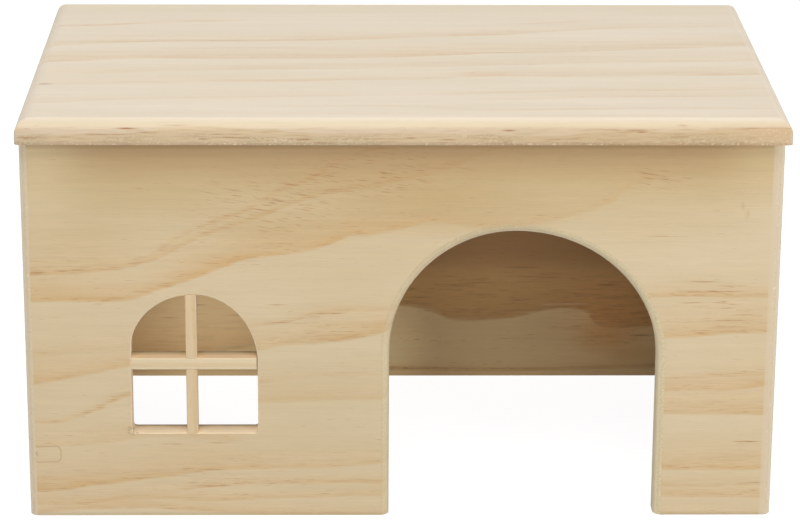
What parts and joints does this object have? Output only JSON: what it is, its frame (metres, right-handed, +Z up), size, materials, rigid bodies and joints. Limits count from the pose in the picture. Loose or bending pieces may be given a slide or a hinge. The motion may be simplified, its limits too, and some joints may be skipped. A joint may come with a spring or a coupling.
{
  "type": "hamster house",
  "caption": "Free-standing pine house for a small pet: boxed walls open at the bottom, arched doorway, arched window with a cross, flat overhanging roof.",
  "frame": {"origin": "on the floor, under the middle of the roof board, which is the largest outline", "axes": "+X to the right along the roof's long side, +Y to the back, +Z up; the face with the doorway and window looks along -Y"},
  "size_m": [0.25, 0.16, 0.138],
  "materials": {
    "wall_pine": "bare sanded pine, lengthways grain with a flat-sawn sweep",
    "roof_pine": "bare sanded pine, paler, straight fine grain",
    "bar_pine": "bare sanded pine strip, straight grain along the strip",
    "dowel_wood": "plain turned hardwood dowel, hidden in the joints"
  },
  "bodies": {
    "root": {"front_panel": "wall_pine", "back_panel": "wall_pine", "left_side_panel": "wall_pine", "right_side_panel": "wall_pine", "roof_panel": "roof_pine", "window_mullion": "bar_pine", "window_transom": "bar_pine", "front_left_dowels": "dowel_wood", "front_right_dowels": "dowel_wood", "back_left_dowels": "dowel_wood", "back_right_dowels": "dowel_wood", "roof_left_dowels": "dowel_wood", "roof_right_dowels": "dowel_wood"}
  },
  "joints": []
}
